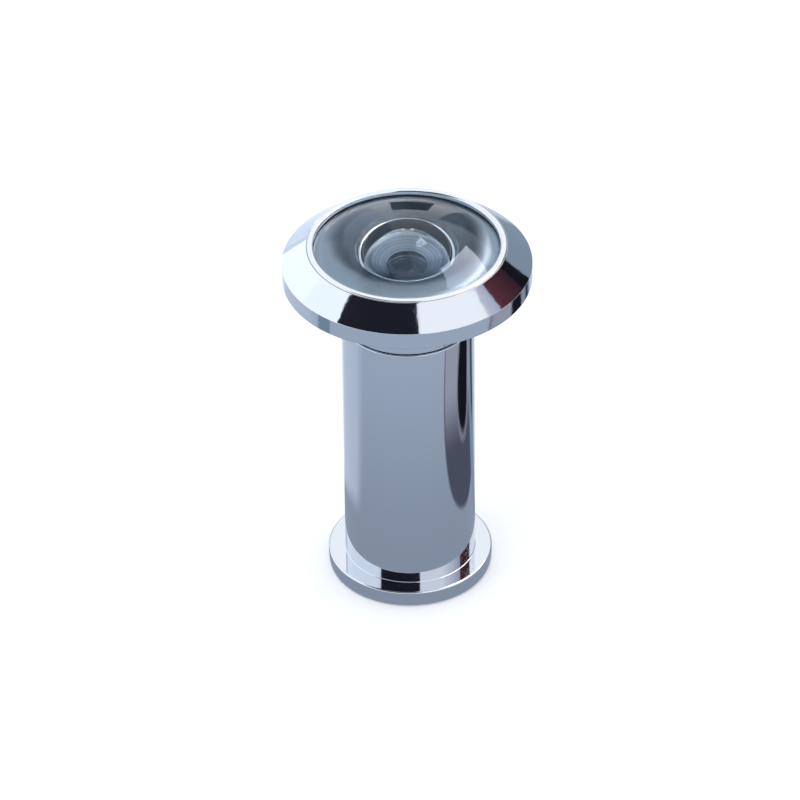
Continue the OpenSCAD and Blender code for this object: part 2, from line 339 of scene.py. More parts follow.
def cap(base_radius, height, level, upward, steps=40):
    """Spherical cap on a flat ring at this level, from the axis out. The sphere's radius is
    (base squared + height squared) / (2 height), and a negative height is a hollow."""
    sphere = (base_radius**2 + height**2) / (2 * height)
    r = base_radius * np.sin(np.linspace(0, math.pi / 2, steps + 1))
    drop = sphere - np.sign(sphere) * np.sqrt(sphere**2 - r**2)
    sign = 1 if upward else -1
    z = level + sign * (height - drop)
    slope = np.sqrt(sphere**2 - r**2) / abs(sphere)
    return np.column_stack([r, z, r / sphere, sign * slope])


# %% Surfaces of revolution
def spin(profile, closed=True, columns=COLUMNS):
    """Spins a profile round Z: row i and column j give (r cos a, r sin a, z), with a = turn * j / columns.

    A closed profile joins its last row to its first. A row of zero radius shrinks to one point at its pole.
    Returns vertices in mm, their normals, and faces as rows of four numbers, the last -1 in a triangle.
    """
    angles = 2 * math.pi * np.arange(columns) / columns
    r, z, nr, nz = (part[:, None] for part in profile.T)
    ones = np.ones(columns)
    vertices = np.stack([r * np.cos(angles), r * np.sin(angles), z * ones], -1)
    normals = np.stack([nr * np.cos(angles), nr * np.sin(angles), nz * ones], -1)
    rows = len(profile)
    index = np.arange(rows * columns).reshape(rows, columns)
    index[profile[:, 0] < 1e-9] = index[profile[:, 0] < 1e-9][:, :1]
    lower = index if closed else index[:-1]
    upper = np.roll(index, -1, 0) if closed else index[1:]
    quads = np.stack([lower, np.roll(lower, -1, 1), np.roll(upper, -1, 1), upper], -1).reshape(-1, 4)
    low_pole, high_pole = quads[:, 0] == quads[:, 1], quads[:, 2] == quads[:, 3]
    quads[low_pole] = np.column_stack([quads[low_pole][:, [0, 2, 3]], np.full(low_pole.sum(), -1)])
    quads[high_pole, 3] = -1
    return vertices.reshape(-1, 3), normals.reshape(-1, 3), quads


# %% [markdown]
# ## The screw thread
#
# A thread is a profile that climbs one pitch in every turn. On a grid of columns round the axis and rows up
# it, each column's rows start a little higher than the last column's, and where the last column meets the
# first, row k joins row k + one turn. The two ends fan into flat rings, where the turned part takes over.

# %% Thread
PITCH = 1.0
THREAD_DEPTH = 0.5
# Phase in the pitch and share of the full height: foot, flank, crest, flank, foot, with softened corners
THREAD_FORM = np.array([
    [0.0, 0.0], [0.03, 0.05], [0.29, 0.95], [0.325, 1.0],
    [0.425, 1.0], [0.46, 0.95], [0.72, 0.05], [0.75, 0.0]])


def thread_wall(root, first, turns, low_ring, high_ring, start, inside=False, columns=COLUMNS):
    """Helical wall: its radius is root + depth * form(phase) and its height is first + pitch * turns, where
    turns adds the row's whole turns, its phase and the column's share of a turn.

    The form fades over half a turn at both ends. An inside thread fades to its full width instead, so that
    the mating crests always clear it, and its faces look at the axis. low_ring and high_ring are the numbers
    of the vertices that the wall joins at its two ends, and start is the number of its own first vertex.
    """
    per_turn = len(THREAD_FORM)
    rows = per_turn * turns
    column, row = np.meshgrid(np.arange(columns), np.arange(rows), indexing="ij")
    phase, share = THREAD_FORM[row % per_turn].transpose(2, 0, 1)
    turn = row // per_turn + column / columns
    run_out = np.clip(2 * np.minimum(turn, turns - turn), 0, 1)
    share = np.maximum(share, 1 - run_out) if inside else share * run_out
    r = root + THREAD_DEPTH * share
    z = first + PITCH * (turn + phase)
    angle = 2 * math.pi * column / columns
    vertices = np.stack([r * np.cos(angle), r * np.sin(angle), z], -1).reshape(-1, 3)

    rise = np.gradient(r, axis=1) / np.gradient(z, axis=1)
    along = np.stack([rise * np.cos(angle), rise * np.sin(angle), np.ones_like(r)], -1)
    around = np.stack([-r * np.sin(angle), r * np.cos(angle), np.full_like(r, PITCH / (2 * math.pi))], -1)
    normals = np.cross(around, along).reshape(-1, 3)
    normals /= np.linalg.norm(normals, axis=1)[:, None]

    index = start + np.arange(columns * rows).reshape(columns, rows)
    left, right = index[:-1], index[1:]
    walls = np.stack([left[:, :-1], right[:, :-1], right[:, 1:], left[:, 1:]], -1).reshape(-1, 4)
    last, first_column = index[-1], index[0]
    seam = np.stack([last[: rows - per_turn - 1], first_column[per_turn:-1], first_column[per_turn + 1 :],
                     last[1 : rows - per_turn]], -1)
    low = np.stack([low_ring[:-1], low_ring[1:], index[1:, 0], index[:-1, 0]], -1)
    high = np.stack([index[:-1, -1], index[1:, -1], high_ring[1:], high_ring[:-1]], -1)
    fan = np.arange(per_turn)
    ones = np.full(per_turn, -1)
    low_fan = np.stack([np.full(per_turn, last[0]), first_column[fan], first_column[fan + 1], ones], -1)
    top = rows - 1 - per_turn + fan
    high_fan = np.stack([np.full(per_turn, first_column[-1]), last[top + 1], last[top], ones], -1)
    corners = np.array([
        [low_ring[-1], low_ring[0], first_column[0], last[0]],
        [last[-1], first_column[-1], high_ring[0], high_ring[-1]]])
    faces = np.vstack([walls, seam, low, high, low_fan, high_fan, corners])
    if inside:
        normals = -normals
        faces = flipped(faces)
    return vertices, normals, faces


def flipped(faces):
    """The same faces seen from the other side."""
    turned = faces[:, ::-1].copy()
    triangles = faces[:, 3] < 0
    turned[triangles] = np.column_stack([faces[triangles][:, 2::-1], np.full(triangles.sum(), -1)])
    return turned


# %% [markdown]
# ## Putting a piece into the scene
#
# The frame moves bodies, so each piece is parented to the body it rides on, takes its materials, and hides
# the
# CAD node it stands for. Its normals go in with it, because the formulas give them exactly.

# %% Putting a piece into the scene
def make_piece(name, surface, material, body, replaced=(), flat=None, others=()):
    """Makes the mesh in metres with its own normals, parents it to its body and hides the nodes it replaces.

    flat marks the faces that keep a flat normal, and others lists (material, marked faces).
    """
    vertices, normals, faces = surface
    used, back = np.unique(faces[faces >= 0], return_inverse=True)
    numbers = np.full(faces.shape, -1)
    numbers[faces >= 0] = back
    mesh = bpy.data.meshes.new(name)
    loops = [[i for i in face if i >= 0] for face in numbers.tolist()]
    mesh.from_pydata((vertices[used] * MM).tolist(), [], loops)
    corner = np.empty(len(mesh.loops), int)
    mesh.loops.foreach_get("vertex_index", corner)
    loop_normals = normals[used][corner]
    if flat is not None:
        sizes = (faces >= 0).sum(1)
        face_normals = np.empty(3 * len(faces))
        mesh.polygons.foreach_get("normal", face_normals)
        marked = np.repeat(flat, sizes)
        loop_normals[marked] = np.repeat(face_normals.reshape(-1, 3), sizes, axis=0)[marked]
    mesh.shade_smooth()
    mesh.normals_split_custom_set(loop_normals.tolist())
    mesh.materials.append(material)
    index = np.zeros(len(faces), int)
    for number, (other, marked) in enumerate(others, 1):
        mesh.materials.append(other)
        index[marked] = number
    mesh.polygons.foreach_set("material_index", index)
    mesh.validate()
    piece = bpy.data.objects.new(name, mesh)
    bpy.context.collection.objects.link(piece)
    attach(piece, body)
    if replaced:
        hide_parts(*replaced)
    print(f"{name}: {len(mesh.vertices)} points, {sum(len(f.vertices) - 2 for f in mesh.polygons)} triangles")


# %% [markdown]
# ## Sizes that the pieces share
#
# Heights and radii are read from the frame where a node's box gives them, and the rest repeat the part's own
# driving sizes, in millimetres.

# %% Shared sizes
def reach(node):
    """A node's outer radius, lowest point and highest point in mm."""
    low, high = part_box(node)
    return high[0] / MM, low[2] / MM, high[2] / MM


EYE_FLANGE_R, _, SLEEVE_TOP = reach("eyepiece_sleeve")
FLANGE_R, BARREL_LOW, _ = reach("objective_housing")
LENS_R, POCKET_LOW, DOME_TOP = reach("front_lens")
SEAL_R, GLASS_TOP, SEAL_TOP = reach("front_lens_seal")
BEZEL_R, BEZEL_LOW, BEZEL_TOP = reach("bezel_ring")
STACK_R, SECOND_LOW, SECOND_TOP = reach("second_lens")

SLEEVE_R = 7.0
EYE_FLANGE_T = 1.9
STOP_GAP = 0.05      # between the sleeve and the neck at the closed stop
NECK_R, NECK_H = 6.8, 5.2
RIM_H = 1.85
NECK_LOW = SLEEVE_TOP + STOP_GAP
FLANGE_LOW = NECK_LOW + NECK_H
RIM_TOP = FLANGE_LOW + RIM_H
BEZEL_PROUD = 0.075  # the bezel's top above the edge of its pocket
BEZEL_LIP = 0.68     # how far the bezel's lip reaches in over the glass
LIP_TOP = BEZEL_TOP - BEZEL_PROUD
OPENING_R = BEZEL_R - BEZEL_LIP
THREAD_R = 5.9
THREAD_GAP = 0.12    # between the two threads, across the radius
THREAD_START = 0.4   # from the barrel's low end to its first thread
STACK_BORE_R = 4.9
FUNNEL_R, FUNNEL_HOLE_R, FUNNEL_DEPTH = 4.65, 2.6, 2.6
FUNNEL_EDGE = 0.3    # straight part of the funnel's hole
print("flange", round(FLANGE_R, 2), "lens", round(LENS_R, 2), "pocket floor", round(POCKET_LOW, 2))

# %% [markdown]
# ## The eyepiece sleeve
#
# One turned piece: the sleeve that fills the hole in the door and the small flange that rests on its inside
# face. Its wall starts at the inner thread's low end, runs down the bore, out over the end face, up the
# outside and back to the thread's high end. Two slots for a coin are cut in the end face, so that face is a
# triangulated sheet with holes, and the slots' walls and floors are flat-shaded.

# %% Eyepiece sleeve
SLOT_LENGTH, SLOT_WIDTH, SLOT_DEPTH, SLOT_START = 2.7, 1.6, 0.8, 5.2
SLOT_CORNER_R = 0.35
COUNTERSINK_R, EYE_HOLE_R, EYE_FLOOR = 4.9, 4.0, 1.2
EYE_SEAT_R, EYE_SEAT_H = 5.28, 3.4
INNER_THREAD_LENGTH = 7.8
RELIEF_H = 0.35     # plain mouth above the inner thread
BORE_MARGIN = 0.1   # the bore below the thread is this much wider than its grooves


def slot_outline(side):
    """A rounded rectangle counterclockwise round the slot on this side (1 or -1) of the axis."""
    across, along, corner_r = SLOT_WIDTH / 2, SLOT_LENGTH / 2, SLOT_CORNER_R
    middle = SLOT_START + along
    quarter = np.linspace(0, math.pi / 2, 6)
    signs = [(1, 1), (-1, 1), (-1, -1), (1, -1)]
    bends = [np.column_stack([
        sx * (along - corner_r) + corner_r * np.cos(quarter + i * math.pi / 2),
        sy * (across - corner_r) + corner_r * np.sin(quarter + i * math.pi / 2),
    ]) for i, (sx, sy) in enumerate(signs)]
    return side * (np.vstack(bends) + [middle, 0])


def slotted_face(inner, outer, vertices, start):
    """Flat sheet at height 0 between two rings of vertices, with two sunken slots.

    The sheet is the constrained triangulation of the rings and the slots' outlines, without the triangles
    inside the inner ring or the slots. Each slot adds a wall and a floor at its depth.
    """
    outlines = [slot_outline(1), slot_outline(-1)]
    flat = np.vstack([vertices[inner][:, :2], vertices[outer][:, :2], *outlines])
    loops, first = [], 0
    for count in (len(inner), len(outer), len(outlines[0]), len(outlines[1])):
        loops.append(np.arange(first, first + count))
        first += count
    edges = [(int(a), int(b)) for loop in loops for a, b in zip(loop, np.roll(loop, -1))]
    made = delaunay_2d_cdt([Vector(p) for p in flat.tolist()], edges, [], 0, 1e-9)
    spot = np.array([tuple(p) for p in made[0]])
    triangles = np.array(made[2])
    middle = spot[triangles].mean(1)
    in_slot = (np.abs(middle[:, 1]) < SLOT_WIDTH / 2) & (
        np.abs(np.abs(middle[:, 0]) - SLOT_START - SLOT_LENGTH / 2) < SLOT_LENGTH / 2)
    corner_cut = np.zeros(len(triangles), bool)
    for loop in loops[2:]:
        corner_cut |= np.isin(triangles, loop).all(1)
    keep = (np.hypot(*middle.T) > np.hypot(*vertices[inner[0]][:2]) * 0.9999) & ~(in_slot | corner_cut)
    source = np.array([origins[0] for origins in made[3]])
    numbers = np.concatenate([inner, outer, start + np.arange(2 * len(outlines[0]))])
    sheet = numbers[source[triangles[keep]]][:, ::-1]
    top = np.column_stack([np.vstack(outlines), np.zeros(2 * len(outlines[0]))])
    added = np.vstack([top, top + [0, 0, SLOT_DEPTH]])
    shift = len(top)
    faces = [np.column_stack([sheet, np.full(len(sheet), -1)])]
    for loop in loops[2:]:
        rim = numbers[loop]
        ahead = np.roll(rim, -1)
        faces.append(np.column_stack([rim, rim + shift, ahead + shift, ahead]))
        fan = np.arange(1, len(rim) - 1)
        floor = rim + shift
        faces.append(np.column_stack([np.full(len(fan), floor[0]), floor[fan + 1], floor[fan],
                                      np.full(len(fan), -1)]))
    return added, np.vstack(faces)


def eyepiece_sleeve():
    """The sleeve's profile spun round the axis, its slotted end face and its inside thread, as one surface.

    The inside thread's turns lie in step with the barrel's, a whole number of pitches from its first.
    """
    groove_r = THREAD_R + THREAD_GAP
    bore_r = groove_r + BORE_MARGIN
    relief_low = SLEEVE_TOP - RELIEF_H
    thread_low = relief_low - INNER_THREAD_LENGTH
    seat_top = EYE_FLOOR + EYE_SEAT_H
    corners = [
        (groove_r, thread_low + 0.02, 0), (groove_r, thread_low, 0.005), (bore_r, thread_low, 0.02),
        (bore_r, seat_top, 0.03), (EYE_SEAT_R, seat_top, 0.05), (EYE_SEAT_R, EYE_FLOOR, 0.03),
        (EYE_HOLE_R, EYE_FLOOR, 0.06), (EYE_HOLE_R, COUNTERSINK_R - EYE_HOLE_R, 0.08),
        (COUNTERSINK_R, 0, 0.1),
        (EYE_FLANGE_R, 0, 0.22), (EYE_FLANGE_R, EYE_FLANGE_T, 0.2),
        (SLEEVE_R, EYE_FLANGE_T, 0.07), (SLEEVE_R, SLEEVE_TOP, 0.14),
        (bore_r, SLEEVE_TOP, 0.1), (bore_r, relief_low, 0.02), (groove_r, relief_low, 0.005),
        (groove_r, relief_low - 0.02, 0),
    ]
    profile = rounded(corners, closed=False)
    vertices, normals, faces = spin(profile, closed=False)
    rows = np.arange(len(profile) * COLUMNS).reshape(len(profile), COLUMNS)
    on_face = np.flatnonzero((np.abs(profile[:, 1]) < 1e-9) & (profile[:, 3] < -0.999))
    inner, outer = rows[on_face[0]], rows[on_face[-1]]
    plain = ~(np.isin(faces, inner).any(1) & np.isin(faces, outer).any(1))
    added, face_sheet = slotted_face(inner, outer, vertices, len(vertices))
    vertices = np.vstack([vertices, added])
    normals = np.vstack([normals, np.tile([0, 0, -1.0], (len(added), 1))])
    flat = np.concatenate([np.zeros(plain.sum(), bool), np.ones(len(face_sheet), bool)])
    turns = int((relief_low - thread_low) / PITCH) - 1
    first = math.ceil((thread_low - BARREL_LOW - THREAD_START) / PITCH) * PITCH + BARREL_LOW + THREAD_START
    thread = thread_wall(THREAD_R - THREAD_DEPTH + THREAD_GAP, first, turns, rows[0], rows[-1],
                         len(vertices), inside=True)
    surface = (np.vstack([vertices, thread[0]]), np.vstack([normals, thread[1]]),
               np.vstack([faces[plain], face_sheet, thread[2]]))
    flat = np.concatenate([flat, np.zeros(len(thread[2]), bool)])
    make_piece("turned_sleeve", surface, CHROME, "eyepiece_half", ["eyepiece_sleeve"], flat)


eyepiece_sleeve()

# %% [markdown]
# ## The objective housing
#
# The big flange, the neck and the threaded barrel are one turned piece too. The bevel is a plain cone, and
# the rim's two edges are hardly broken, so each catches one thin line of light. The floor of the lens
# pocket and the funnel that leads down from it take the two turned finishes.

# %% Objective housing
LIP_MARGIN, POCKET_MARGIN = 0.16, 0.02  # wider than the bezel, at the pocket's edge and in it
BARREL_TURNS = 25
THREAD_END = 0.3                        # plain barrel left at the neck and at the low end


def objective_housing():
    """The housing's profile spun round the axis and its outside thread, as one surface."""
    root = THREAD_R - THREAD_DEPTH
    lip_r = BEZEL_R + LIP_MARGIN
    pocket_r = BEZEL_R + POCKET_MARGIN
    funnel_low = POCKET_LOW - FUNNEL_DEPTH
    thread_high = NECK_LOW - THREAD_END
    corners = [
        (root, thread_high, 0), (root, NECK_LOW, 0.05), (NECK_R, NECK_LOW, 0.1),
        (NECK_R, FLANGE_LOW, 0.15), (FLANGE_R, FLANGE_LOW, 0.12), (FLANGE_R, RIM_TOP, 0.07),
        (lip_r, LIP_TOP - 0.15, 0.1), (pocket_r, LIP_TOP - 0.02, 0.04),
        (pocket_r, POCKET_LOW, 0.05), (FUNNEL_R, POCKET_LOW, 0.1),
        (FUNNEL_HOLE_R, funnel_low + FUNNEL_EDGE, 0.06), (FUNNEL_HOLE_R, funnel_low, 0.04),
        (STACK_BORE_R, funnel_low, 0.04), (STACK_BORE_R, BARREL_LOW, 0.08), (root, BARREL_LOW, 0.1),
        (root, BARREL_LOW + THREAD_END, 0),
    ]
    profile = rounded(corners, closed=False)
    vertices, normals, faces = spin(profile, closed=False)
    rows = np.arange(len(profile) * COLUMNS).reshape(len(profile), COLUMNS)
    thread = thread_wall(root, BARREL_LOW + THREAD_START, BARREL_TURNS, rows[-1], rows[0], len(vertices))
    vertices = np.vstack([vertices, thread[0]])
    faces = np.vstack([faces, thread[2]])
    spots = vertices[np.where(faces < 0, faces[:, :1], faces)]
    middle = spots.mean(1)
    inside = (np.hypot(middle[:, 0], middle[:, 1]) < pocket_r - 0.06) & (
        middle[:, 2] > funnel_low + FUNNEL_EDGE)
    seat = inside & (middle[:, 2] > POCKET_LOW - 0.01)
    others = [(TURNED_SEAT, seat), (TURNED_FUNNEL, inside & ~seat)]
    make_piece("turned_housing", (vertices, np.vstack([normals, thread[1]]), faces), FLANGE_CHROME,
               "objective_half", ["objective_housing"], others=others)


objective_housing()

# %% [markdown]
# ## Bezel, seal and front lens
#
# The bezel is a thin pressed ring whose rounded lip traps the seal and the glass. The front lens is polished
# to a dome in front and ground to a deep round hollow behind, which is what squeezes a whole hallway
# into it. Its edges are chamfered, as every ground lens's are. Two smaller lenses, flat in front and hollow
# behind, follow it down the barrel.

# %% Bezel and seal
def ring_piece(name, corners, material, body, replaced):
    """A closed profile spun into a ring."""
    make_piece(name, spin(rounded(corners)), material, body, [replaced])


FIT_GAP = 0.05   # between the glass and the bezel
SEAL_GAP = 0.03  # between the seal's mouth and the bezel's
bezel_inner = LENS_R + FIT_GAP
seal_inner = OPENING_R - SEAL_GAP
ring_piece("pressed_bezel", [
    (BEZEL_R, BEZEL_LOW, 0.04), (BEZEL_R, BEZEL_TOP, 0.14), (OPENING_R, BEZEL_TOP, 0.2),
    (OPENING_R, SEAL_TOP, 0.03), (bezel_inner, SEAL_TOP, 0.02), (bezel_inner, BEZEL_LOW, 0.04),
], BEZEL_CHROME, "objective_half", "bezel_ring")
ring_piece("lens_seal", [
    (SEAL_R, GLASS_TOP, 0.03), (SEAL_R, SEAL_TOP, 0.03), (seal_inner, SEAL_TOP, 0.1),
    (seal_inner, GLASS_TOP, 0.03),
], BLACK_RUBBER, "objective_half", "front_lens_seal")


# %% Lenses
LENS_CHAMFER = 0.12


def lens(name, radius, low, high, front, back, glass, body, replaced, backing=None):
    """Glass disc from low to high at its edge. front and back are (base radius, height) of a cap, where a
    positive height is a dome that stands out of the glass and a negative one a hollow ground into it.
    backing is a material for the flat ring behind the lens."""
    bottom = cap(*back, low, upward=False)
    top = cap(*front, high, upward=True)[::-1]
    inner_low, inner_high = bottom[-1, 0], top[0, 0]
    wall = rounded([
        (inner_low, low, 0), (radius, low, LENS_CHAMFER), (radius, high, LENS_CHAMFER),
        (inner_high, high, 0),
    ], closed=False)
    profile = np.vstack([bottom, wall[1:-1], top])
    vertices, normals, faces = spin(profile, closed=False)
    others = []
    if backing is not None:
        spots = vertices[np.where(faces < 0, faces[:, :1], faces)]
        flat_ring = (np.ptp(spots[..., 2], axis=1) < 1e-6) & (np.abs(spots[:, 0, 2] - low) < 1e-6)
        others = [(backing, flat_ring)]
    make_piece(name, (vertices, normals, faces), glass, body, [replaced], others=others)


FRONT_DOME = (OPENING_R - 0.05, DOME_TOP - GLASS_TOP)
FRONT_HOLLOW = (4.8, -2.7)
NEARLY_FLAT = (STACK_R - 0.3, 0.001)
SECOND_HOLLOW = (3.9, -1.9)
THIRD_HOLLOW = (3.6, -1.2)
GLASS_LIFT = 0.03  # between the front glass and its seat, so that their faces don't fight
lens("front_glass", LENS_R, POCKET_LOW + GLASS_LIFT, GLASS_TOP, FRONT_DOME, FRONT_HOLLOW,
     FRONT_GLASS, "objective_half", "front_lens", TURNED_SEAT)

_, THIRD_LOW, THIRD_TOP = reach("third_lens")
lens("second_glass", STACK_R, SECOND_LOW, SECOND_TOP, NEARLY_FLAT, SECOND_HOLLOW,
     INNER_GLASS, "lens_stack", "second_lens")
lens("third_glass", STACK_R, THIRD_LOW, THIRD_TOP, NEARLY_FLAT, THIRD_HOLLOW,
     INNER_GLASS, "lens_stack", "third_lens")

# %% [markdown]
# ## The pieces inside
#
# The spacers, the eyepiece lens with its washer, and the notched brass rings are hidden when the viewer is
# whole, but the glass lets a little of them through, and they belong to the model. The notched rings keep
# their CAD shape and only take a finish.

# %% Inner pieces
EDGE_R = 0.08
SPACER_WALL = 0.75
WASHER_HOLE_R = 4.25
EYE_DOME = (4.15, 0.75)


def plain_ring(name, node, inner, material, body):
    """A ring with softened edges, as high and wide as its node. inner is its hole's radius."""
    outer, low, high = reach(node)
    corners = [(outer, low), (outer, high), (inner, high), (inner, low)]
    ring_piece(name, [(r, z, EDGE_R) for r, z in corners], material, body, node)


for name, node in (("short_spacer", "front_spacer"), ("long_spacer", "spacer_tube")):
    plain_ring(name, node, reach(node)[0] - SPACER_WALL, BLACK_PLASTIC, "lens_stack")
plain_ring("eye_washer", "eyepiece_seal", WASHER_HOLE_R, BLACK_RUBBER, "eyepiece_half")

EYE_LENS_R, EYE_LENS_LOW, EYE_LENS_TOP = reach("eyepiece_lens")
lens("eye_glass", EYE_LENS_R, EYE_LENS_LOW + EYE_DOME[1], EYE_LENS_TOP - EYE_DOME[1],
     EYE_DOME, EYE_DOME, INNER_GLASS, "eyepiece_half", "eyepiece_lens")

for node in ("eyepiece_retaining_ring", "stack_retaining_ring"):
    ring_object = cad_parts[node]
    for place in ring_object.material_slots:
        place.material = BRASS
    print(node, "takes", [place.material.name for place in ring_object.material_slots])

# %% [markdown]
# ## Floor and the room in the chrome
#
# Chrome has no colour of its own: it shows the room. The camera sees a plain pale floor. The mirror finish
# needs more, as anyone who lights a shiny product knows, so a painted table top and cards stand round the
# part that only reflections can see. Azimuths run from the front (-Y) towards the right (+X), in degrees.

# %% Stage pieces
CARD_CENTRE = 0.03  # height of the middle of the cards' sphere, metres


def emitting(name):
    """Light of the colours painted on the mesh's points."""
    material, tree = new_material(name)
    glow = add_node(tree, "ShaderNodeAttribute", attribute_name="glow").outputs["Color"]
    finish_material(tree, add_node(tree, "ShaderNodeEmission", {"Color": glow, "Strength": 1.0}))
    return material


def paint_points(sheet, glow):
    """Stores one linear colour for each point of a sheet's grid."""
    colours = sheet.data.color_attributes.new("glow", "FLOAT_COLOR", "POINT")
    colours.data.foreach_set("color", np.concatenate([glow, np.ones((*glow.shape[:-1], 1))], -1).ravel())


def stage_mesh(name, grid, material, reflection_only=True):
    """A sheet from a grid of points in metres. Reflection-only sheets cast no light or shadow on anything."""
    rows, columns = grid.shape[:2]
    index = np.arange(rows * columns).reshape(rows, columns)
    faces = np.stack([index[:-1, :-1], index[:-1, 1:], index[1:, 1:], index[1:, :-1]], -1).reshape(-1, 4)
    mesh = bpy.data.meshes.new(name)
    mesh.from_pydata(grid.reshape(-1, 3).tolist(), [], faces.tolist())
    mesh.materials.append(material)
    sheet = bpy.data.objects.new(name, mesh)
    bpy.context.collection.objects.link(sheet)
    if reflection_only:
        sheet.visible_camera = sheet.visible_diffuse = sheet.visible_shadow = False
        sheet.visible_volume_scatter = False
    print(f"{name}: {len(mesh.vertices)} points")
    return sheet


def sky_card(name, low_azimuths, high_azimuths, elevations, colours, distance=0.45, strength=1.0):
    """A patch of a sphere round the part, this many metres away. Its two upright sides run straight from the
    low to the high azimuths, and its light changes evenly from the first colour on one side to the last on
    the other."""
    up, across = np.meshgrid(np.linspace(0, 1, 16), np.linspace(0, 1, 24), indexing="ij")
    left = low_azimuths[0] + up * (high_azimuths[0] - low_azimuths[0])
    right = low_azimuths[1] + up * (high_azimuths[1] - low_azimuths[1])
    a = np.radians(left + across * (right - left))
    e = np.radians(elevations[0] + up * (elevations[1] - elevations[0]))
    grid = distance * np.stack([np.sin(a) * np.cos(e), -np.cos(a) * np.cos(e), np.sin(e)], -1)
    grid[..., 2] += CARD_CENTRE
    first, last = (np.array(linear(colour)[:3]) for colour in (colours[0], colours[-1]))
    card = stage_mesh(name, grid, emitting(name + "_light"))
    paint_points(card, strength * (first + across[..., None] * (last - first)))


# %% Floor
FLOOR_REACH = 2.5  # metres
PAPER_GRAIN = 5.0  # mm


def pale_floor():
    """A wide sheet of matt white paper at height 0, the only stage piece that the camera sees."""
    material, tree = new_material("pale_floor")
    place = add_node(tree, "ShaderNodeTexCoord").outputs["Object"]
    grain = add_node(tree, "ShaderNodeTexNoise", {
        "Vector": place, "Scale": 1 / (PAPER_GRAIN * MM), "Detail": 3.0})
    rough = add_node(tree, "ShaderNodeMapRange", {
        "Value": grain.outputs["Fac"], "To Min": 0.75, "To Max": 0.9})
    paper = add_node(tree, "ShaderNodeBsdfPrincipled", {
        "Base Color": linear("f6f7f9"), "Roughness": rough.outputs[0]})
    finish_material(tree, paper)
    size = np.array([-FLOOR_REACH, FLOOR_REACH])
    x, y = np.meshgrid(size, size)
    stage_mesh("floor", np.stack([x, y, np.zeros_like(x)], -1), material, reflection_only=False)


pale_floor()

# %% [markdown]
# ## The table in the reflections
#
# The sleeve and the rims look down at the table, so its paint draws the long shapes on them: a grey-blue top
# that pales to the left and behind and is dimmed close to the part as painted shade, and a dark thing with a
# grey rim, its side in painted shade, on the right, which the sleeve stretches into a long tongue. The paint
# is a formula of azimuth and distance on the points of a polar grid.
# Its rings widen outwards, because a round mirror squeezes whatever is far.

# %% Table top that only reflections see
TABLE_START, RING_GROWTH, RINGS = 9, 1.025, 160  # the first ring in mm, and each ring's size by the last
TABLE_LIFT = 0.03                                # above the floor, mm
DARK_THING = (45, 5)                             # its middle on the table, mm


def blend(value, low, high):
    """0 below low, 1 above high, smooth between. low may be the larger."""
    t = np.clip((value - low) / (high - low), 0, 1)
    return t * t * (3 - 2 * t)


def to_segment(x, y, start, end):
    """Distance from points (x, y) to the straight line between two spots."""
    run = np.subtract(end, start)
    share = np.clip(((x - start[0]) * run[0] + (y - start[1]) * run[1]) / (run @ run), 0, 1)
    return np.hypot(x - start[0] - share * run[0], y - start[1] - share * run[1])


def table_top():
    """Polar grid painted layer by layer. Each layer replaces what is under it by its amount, from 0 to 1."""
    azimuth, distance = np.meshgrid(
        np.linspace(-180, 180, 481), TABLE_START * RING_GROWTH ** np.arange(RINGS))
    a = np.radians(azimuth)
    x, y = distance * np.sin(a), -distance * np.cos(a)
    grid = np.stack([x, y, np.full_like(a, TABLE_LIFT)], -1) * MM

    def paint(under, colour, amount, strength=1.0):
        """The colours under the layer, moved towards its colour by its amount."""
        return under + (strength * np.array(linear(colour)[:3]) - under) * amount[..., None]

    def between(start, full, fading, end):
        """1 between the azimuths full and fading, falling to 0 at start and end."""
        return blend(azimuth, start, full) * blend(azimuth, end, fading)

    glow = np.tile(np.array(linear("b2bfd0")[:3]), (*azimuth.shape, 1))
    # Painted shade: the table's light is dimmed close to the part, standing in for the shade round its foot
    glow = glow * (0.73 + 0.27 * blend(distance, 9, 55))[..., None]
    left = blend(distance, 16, 21)
    glow = paint(glow, "c8d2e4", blend(azimuth, -76, -98) * left)
    glow = paint(glow, "ccd7e6", blend(azimuth, -100, -122) * left)
    glow = paint(glow, "8399ab", between(-83, -81, -70, -68) * blend(distance, 50, 54))
    glow = paint(glow, "e2efff", blend(azimuth, -136, -152), 1.14)
    # A dark thing that lies on the table to the right: a round grey rim, its side in painted shade, with a
    # black middle
    from_thing = np.hypot(x - DARK_THING[0], y - DARK_THING[1])
    rim = blend(from_thing, 28.5, 27.3) * blend(azimuth, 126, 119)
    middle = to_segment(x, y, (38.8, 6.8), (56.5, 20.5))
    # Painted shade: the grey rim is the dark thing's side in shade
    glow = paint(glow, "565a6a", rim)
    glow = paint(glow, "a9adba", rim * blend(distance, 29, 42) * blend(from_thing, 28, 25.5))
    glow = paint(glow, "8f8e9b", rim * blend(middle, 10.8, 9.6))
    glow = paint(glow, "191a24", blend(azimuth, 134, 129) * blend(middle, 9.1, 7.7))
    # Narrow stripes past its far side, then the bright end of the table
    glow = paint(glow, "8d9bb1", blend(azimuth, 119, 124) * blend(middle, 7.7, 9.1))
    glow = paint(glow, "3d4250", between(126, 129, 133, 136) * blend(distance, 28, 34))
    glow = paint(glow, "ccd6e6", blend(azimuth, 136, 142))
    glow = paint(glow, "92a2b1", between(128, 134, 169, 173) * blend(distance, 110, 150))
    glow = paint(glow, "dfe5ee", blend(azimuth, 170, 176))
    sheet = stage_mesh("table_in_reflections", grid, emitting("table_light"))
    paint_points(sheet, glow)


table_top()

# %% [markdown]
# ## The cards
#
# The bevel and the top of the small flange look up at the cards: a dark flag in front and above, light that
# fades into a dark red card and a black edge on the right, a grey wall and a dark thing farther round, one
# bright window high up that puts a wedge of light in the front glass, and white and pale cards on the left.
# Where cards overlap they stand at different distances, and the nearer one shows.

